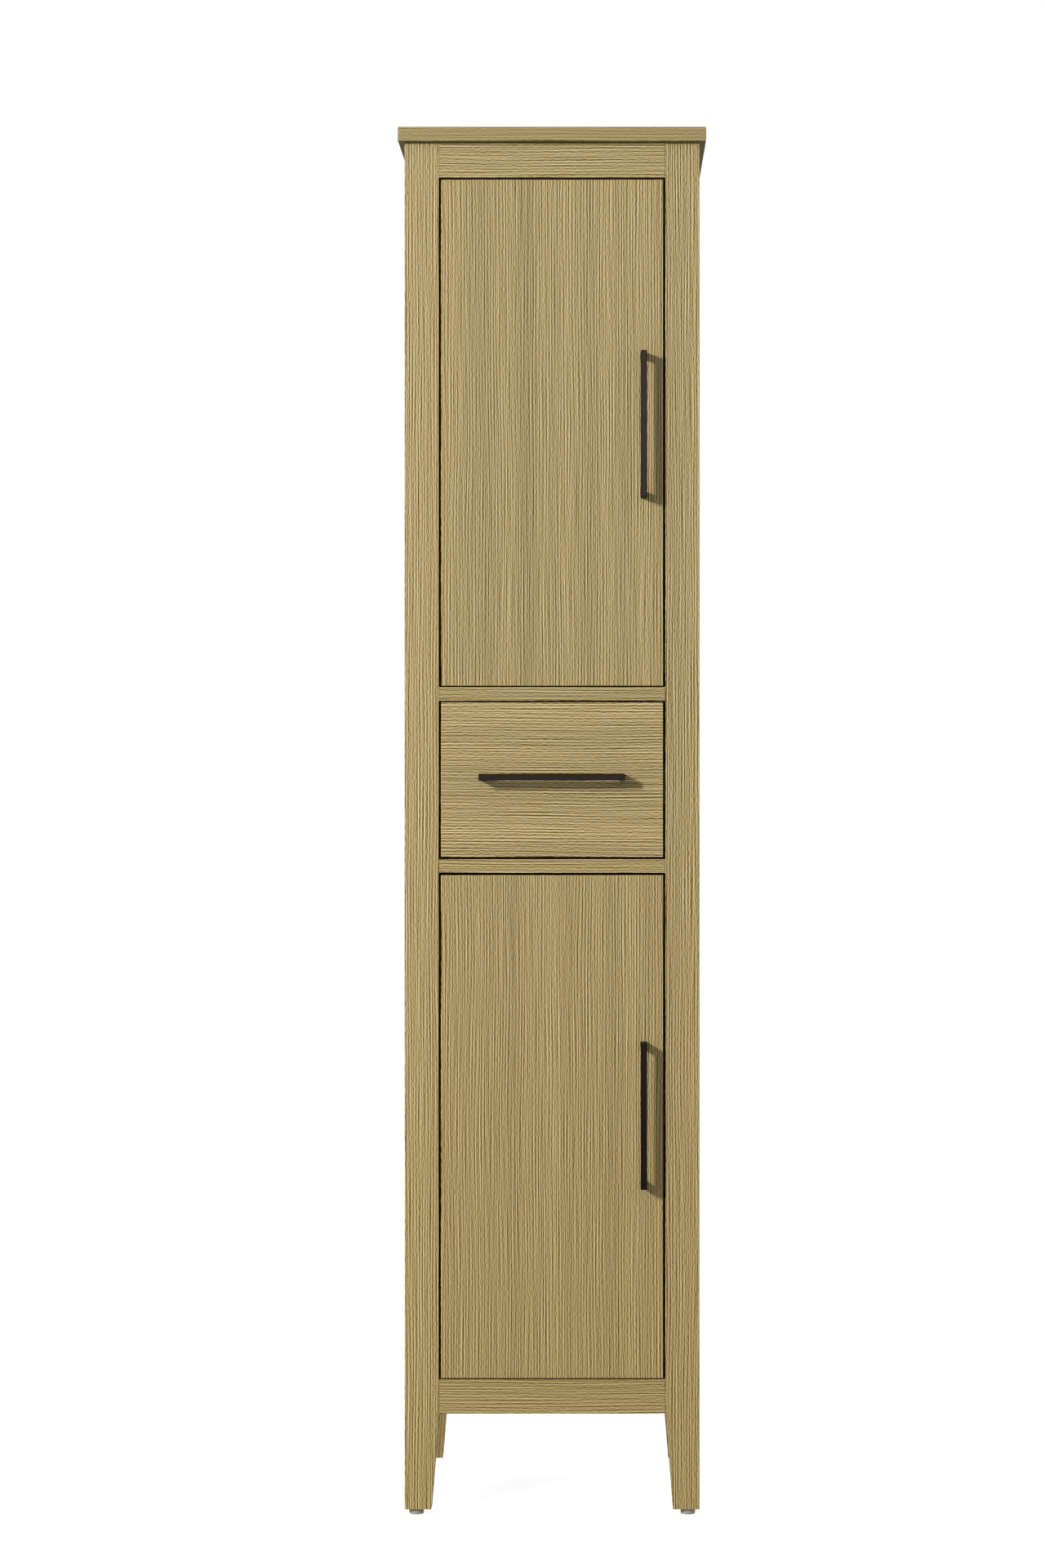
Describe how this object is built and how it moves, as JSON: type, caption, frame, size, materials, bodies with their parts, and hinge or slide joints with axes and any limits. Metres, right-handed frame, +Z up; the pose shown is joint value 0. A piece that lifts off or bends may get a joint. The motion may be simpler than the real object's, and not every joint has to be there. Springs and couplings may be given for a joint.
{
  "type": "tall bathroom linen cabinet",
  "caption": "Tall narrow bathroom linen cabinet: oak-look face frame on tapered legs, inset doors above and below a drawer, black bar handles, shelves inside.",
  "frame": {"origin": "on the floor, under the middle of the overall box", "axes": "+Z up, front of the cabinet towards -Y, +X to the right seen from the front"},
  "size_m": [0.406, 0.395, 1.829],
  "materials": {
    "oak_face": "satin oak, straight grain",
    "oak_board": "satin oak board",
    "plain_wood": "sanded pale wood",
    "black_handle": "satin black",
    "nickel_hinge": "nickel-plated pressed steel",
    "zinc_steel": "zinc-plated steel",
    "glide_plastic": "pale grey moulded plastic",
    "bumper_rubber": "clear soft bumper"
  },
  "bodies": {
    "carcass": {"top_panel": "oak_face", "front_left_post": "oak_face", "front_right_post": "oak_face", "rear_left_post": "oak_face", "rear_right_post": "oak_face", "top_rail": "oak_face", "upper_middle_rail": "oak_face", "lower_middle_rail": "oak_face", "bottom_rail": "oak_face", "left_side_panel": "oak_face", "right_side_panel": "oak_face", "bottom_panel": "oak_board", "lower_divider": "oak_board", "upper_divider": "oak_board", "lower_shelf": "oak_board", "upper_low_shelf": "oak_board", "upper_high_shelf": "oak_board", "back_panel": "oak_board", "rear_top_rail": "plain_wood", "rear_bottom_rail": "plain_wood", "top_cleats": "plain_wood", "door_stop_blocks": "plain_wood", "left_drawer_batten": "plain_wood", "right_drawer_batten": "plain_wood", "hinge_plates": "nickel_hinge", "hinge_arms": "nickel_hinge", "shelf_pins": "nickel_hinge", "drawer_slide_outer_members": "zinc_steel", "top_screws": "zinc_steel", "hinge_plate_screws": "zinc_steel", "glide_nails": "zinc_steel", "leg_glides": "glide_plastic", "door_bumpers": "bumper_rubber"},
    "upper_hinge_links": {"upper_hinge_links": "nickel_hinge"},
    "lower_hinge_links": {"lower_hinge_links": "nickel_hinge"},
    "drawer_slide_middles": {"drawer_slide_middle_members": "zinc_steel"},
    "upper_door": {"upper_door_panel": "oak_face", "upper_hinge_cups": "nickel_hinge", "upper_hinge_cup_screws": "zinc_steel", "upper_door_handle": "black_handle", "upper_door_handle_screws": "zinc_steel"},
    "lower_door": {"lower_door_panel": "oak_face", "lower_hinge_cups": "nickel_hinge", "lower_hinge_cup_screws": "zinc_steel", "lower_door_handle": "black_handle", "lower_door_handle_screws": "zinc_steel"},
    "drawer": {"drawer_front": "oak_face", "drawer_left_side": "plain_wood", "drawer_right_side": "plain_wood", "drawer_inner_front": "plain_wood", "drawer_back": "plain_wood", "drawer_bottom": "plain_wood", "drawer_handle": "black_handle", "drawer_handle_screws": "zinc_steel", "drawer_slide_inner_members": "zinc_steel"}
  },
  "joints": [
    {"name": "upper_hinge_link_swing", "type": "hinge", "parent": "carcass", "child": "upper_hinge_links", "pos_m": [-0.1145, -0.1445, 0], "axis": [0, 0, 1], "range_deg": [0, 35]},
    {"name": "upper_door_swing", "type": "hinge", "parent": "upper_hinge_links", "child": "upper_door", "pos_m": [-0.1325, -0.1545, 0], "axis": [0, 0, -1], "range_deg": [0, 140]},
    {"name": "lower_hinge_link_swing", "type": "hinge", "parent": "carcass", "child": "lower_hinge_links", "pos_m": [-0.1145, -0.1445, 0], "axis": [0, 0, 1], "range_deg": [0, 35]},
    {"name": "lower_door_swing", "type": "hinge", "parent": "lower_hinge_links", "child": "lower_door", "pos_m": [-0.1325, -0.1545, 0], "axis": [0, 0, -1], "range_deg": [0, 140]},
    {"name": "drawer_slide", "type": "slide", "parent": "carcass", "child": "drawer", "axis": [0, -1, 0], "range_m": [0, 0.27]},
    {"name": "drawer_slide_middle", "type": "slide", "parent": "carcass", "child": "drawer_slide_middles", "axis": [0, -1, 0], "range_m": [0, 0.135]}
  ],
  "couplings": [
    {"joint": "upper_hinge_link_swing", "follows": "upper_door_swing", "ratio": 0.25},
    {"joint": "lower_hinge_link_swing", "follows": "lower_door_swing", "ratio": 0.25},
    {"joint": "drawer_slide_middle", "follows": "drawer_slide", "ratio": 0.5}
  ]
}
